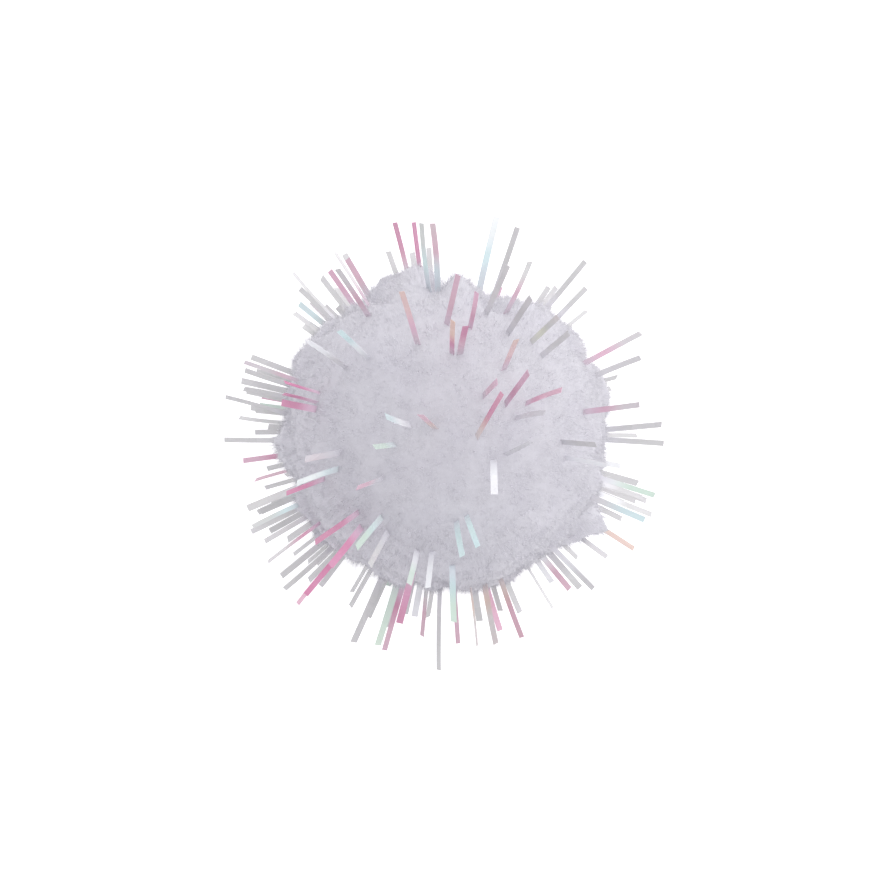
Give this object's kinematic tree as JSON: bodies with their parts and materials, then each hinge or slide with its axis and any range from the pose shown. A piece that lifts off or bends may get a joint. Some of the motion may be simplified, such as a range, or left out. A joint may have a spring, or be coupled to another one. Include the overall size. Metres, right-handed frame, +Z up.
{
  "type": "pom pom",
  "caption": "Small round craft pom pom: dense ball of soft white fibre with straight iridescent film strips standing out of it, tied at its hidden waist.",
  "frame": {"origin": "middle of the flattened underside that the ball rests on", "axes": "+Z up, along the tied rope's axis; +X and +Y level"},
  "size_m": [0.0378, 0.039, 0.0288],
  "materials": {
    "fibre": "matte",
    "thread": "satin",
    "film_clear": "gloss",
    "film_pink": "gloss",
    "film_aqua": "gloss",
    "film_green": "gloss",
    "film_gold": "gloss"
  },
  "bodies": {
    "pom": {"binding_thread": "thread", "fibre_waist": "fibre", "film_bundle": "film_clear", "lower_middle_tuft": "fibre", "lower_side_tuft_1": "fibre", "lower_side_tuft_2": "fibre", "lower_side_tuft_3": "fibre", "lower_side_tuft_4": "fibre", "pinned_strip_01": "film_clear", "pinned_strip_02": "film_pink", "pinned_strip_03": "film_clear", "pinned_strip_04": "film_aqua", "pinned_strip_05": "film_green", "pinned_strip_06": "film_gold", "thread_knot": "thread", "upper_middle_tuft": "fibre", "upper_side_tuft_1": "fibre", "upper_side_tuft_2": "fibre", "upper_side_tuft_3": "fibre", "upper_side_tuft_4": "fibre"},
    "spray_01": {"film_strip_01": "film_clear", "film_strip_02": "film_clear"},
    "spray_02": {"film_strip_03": "film_pink", "film_strip_04": "film_clear"},
    "spray_03": {"film_strip_05": "film_clear", "film_strip_06": "film_clear"},
    "spray_04": {"film_strip_07": "film_aqua", "film_strip_08": "film_clear"},
    "spray_05": {"film_strip_09": "film_pink", "film_strip_10": "film_pink"},
    "spray_06": {"film_strip_11": "film_pink", "film_strip_12": "film_pink"},
    "spray_07": {"film_strip_13": "film_clear", "film_strip_14": "film_clear"},
    "spray_08": {"film_strip_15": "film_pink", "film_strip_16": "film_clear"},
    "spray_09": {"film_strip_17": "film_aqua", "film_strip_18": "film_clear"},
    "spray_10": {"film_strip_19": "film_pink", "film_strip_20": "film_clear"},
    "spray_11": {"film_strip_21": "film_green", "film_strip_22": "film_clear"},
    "spray_12": {"film_strip_23": "film_clear", "film_strip_24": "film_pink"},
    "spray_13": {"film_strip_25": "film_gold", "film_strip_26": "film_clear"},
    "spray_14": {"film_strip_27": "film_pink", "film_strip_28": "film_pink"},
    "spray_15": {"film_strip_29": "film_clear", "film_strip_30": "film_gold"},
    "spray_16": {"film_strip_31": "film_clear", "film_strip_32": "film_clear"},
    "spray_17": {"film_strip_33": "film_aqua", "film_strip_34": "film_clear"},
    "spray_18": {"film_strip_35": "film_aqua", "film_strip_36": "film_gold"},
    "spray_19": {"film_strip_37": "film_green", "film_strip_38": "film_pink"},
    "spray_20": {"film_strip_39": "film_aqua", "film_strip_40": "film_aqua"}
  },
  "joints": [
    {"name": "spray_01_flex", "type": "hinge", "parent": "pom", "child": "spray_01", "pos_m": [0.01427, -0.00013, 0.0135], "axis": [0.015, -0.7806, -0.6248], "range_deg": [-60, 60], "stiffness_Nm_per_rad": 0.0000004},
    {"name": "spray_02_flex", "type": "hinge", "parent": "pom", "child": "spray_02", "pos_m": [0.01276, 0.00567, 0.01597], "axis": [0.4429, -0.7071, -0.5512], "range_deg": [-60, 60], "stiffness_Nm_per_rad": 0.0000004},
    {"name": "spray_03_flex", "type": "hinge", "parent": "pom", "child": "spray_03", "pos_m": [0.00942, 0.01065, 0.01425], "axis": [0.5477, -0.5574, 0.624], "range_deg": [-60, 60], "stiffness_Nm_per_rad": 0.0000004},
    {"name": "spray_04_flex", "type": "hinge", "parent": "pom", "child": "spray_04", "pos_m": [0.00392, 0.01368, 0.01188], "axis": [0.8688, -0.2126, 0.4472], "range_deg": [-60, 60], "stiffness_Nm_per_rad": 0.0000004},
    {"name": "spray_05_flex", "type": "hinge", "parent": "pom", "child": "spray_05", "pos_m": [-0.00284, 0.01397, 0.01362], "axis": [-0.6984, -0.1106, -0.7071], "range_deg": [-60, 60], "stiffness_Nm_per_rad": 0.0000004},
    {"name": "spray_06_flex", "type": "hinge", "parent": "pom", "child": "spray_06", "pos_m": [-0.00762, 0.01173, 0.01015], "axis": [0.6976, 0.561, 0.4456], "range_deg": [-60, 60], "stiffness_Nm_per_rad": 0.0000004},
    {"name": "spray_07_flex", "type": "hinge", "parent": "pom", "child": "spray_07", "pos_m": [-0.01381, 0.00357, 0.0135], "axis": [-0.2165, -0.7501, -0.6248], "range_deg": [-60, 60], "stiffness_Nm_per_rad": 0.0000004},
    {"name": "spray_08_flex", "type": "hinge", "parent": "pom", "child": "spray_08", "pos_m": [-0.01403, -0.00122, 0.01064], "axis": [-0.152, 0.8819, 0.4462], "range_deg": [-60, 60], "stiffness_Nm_per_rad": 0.0000004},
    {"name": "spray_09_flex", "type": "hinge", "parent": "pom", "child": "spray_09", "pos_m": [-0.01248, -0.00678, 0.01449], "axis": [0.3141, -0.7158, -0.6236], "range_deg": [-60, 60], "stiffness_Nm_per_rad": 0.0000004},
    {"name": "spray_10_flex", "type": "hinge", "parent": "pom", "child": "spray_10", "pos_m": [-0.00983, -0.01035, 0.01312], "axis": [-0.5169, 0.482, -0.7074], "range_deg": [-60, 60], "stiffness_Nm_per_rad": 0.0000004},
    {"name": "spray_11_flex", "type": "hinge", "parent": "pom", "child": "spray_11", "pos_m": [-0.00503, -0.0131, 0.01039], "axis": [-0.8616, 0.2423, 0.4459], "range_deg": [-60, 60], "stiffness_Nm_per_rad": 0.0000004},
    {"name": "spray_12_flex", "type": "hinge", "parent": "pom", "child": "spray_12", "pos_m": [0.00012, -0.01422, 0.01425], "axis": [0.779, 0.0613, 0.624], "range_deg": [-60, 60], "stiffness_Nm_per_rad": 0.0000004},
    {"name": "spray_13_flex", "type": "hinge", "parent": "pom", "child": "spray_13", "pos_m": [0.01156, -0.0081, 0.01089], "axis": [-0.4572, -0.7692, 0.4465], "range_deg": [-60, 60], "stiffness_Nm_per_rad": 0.0000004},
    {"name": "spray_14_flex", "type": "hinge", "parent": "pom", "child": "spray_14", "pos_m": [0.0013, 0.00945, 0.02362], "axis": [0.7315, -0.5515, 0.401], "range_deg": [-60, 60], "stiffness_Nm_per_rad": 0.0000004},
    {"name": "spray_15_flex", "type": "hinge", "parent": "pom", "child": "spray_15", "pos_m": [0.00793, 0.00728, 0.02238], "axis": [-0.4608, 0.8463, -0.2674], "range_deg": [-60, 60], "stiffness_Nm_per_rad": 0.0000004},
    {"name": "spray_16_flex", "type": "hinge", "parent": "pom", "child": "spray_16", "pos_m": [0.01031, -0.00156, 0.02275], "axis": [-0.2984, 0.8413, 0.4507], "range_deg": [-60, 60], "stiffness_Nm_per_rad": 0.0000004},
    {"name": "spray_17_flex", "type": "hinge", "parent": "pom", "child": "spray_17", "pos_m": [-0.00782, 0.00605, 0.02327], "axis": [-0.8358, -0.3073, -0.455], "range_deg": [-60, 60], "stiffness_Nm_per_rad": 0.0000004},
    {"name": "spray_18_flex", "type": "hinge", "parent": "pom", "child": "spray_18", "pos_m": [-0.00938, -0.00254, 0.02345], "axis": [0.2085, 0.8908, 0.4037], "range_deg": [-60, 60], "stiffness_Nm_per_rad": 0.0000004},
    {"name": "spray_19_flex", "type": "hinge", "parent": "pom", "child": "spray_19", "pos_m": [-0.00542, -0.00808, 0.02345], "axis": [0.4271, -0.8091, -0.4037], "range_deg": [-60, 60], "stiffness_Nm_per_rad": 0.0000004},
    {"name": "spray_20_flex", "type": "hinge", "parent": "pom", "child": "spray_20", "pos_m": [0.00147, -0.00763, 0.02499], "axis": [-0.8256, -0.5164, -0.2274], "range_deg": [-60, 60], "stiffness_Nm_per_rad": 0.0000004}
  ]
}
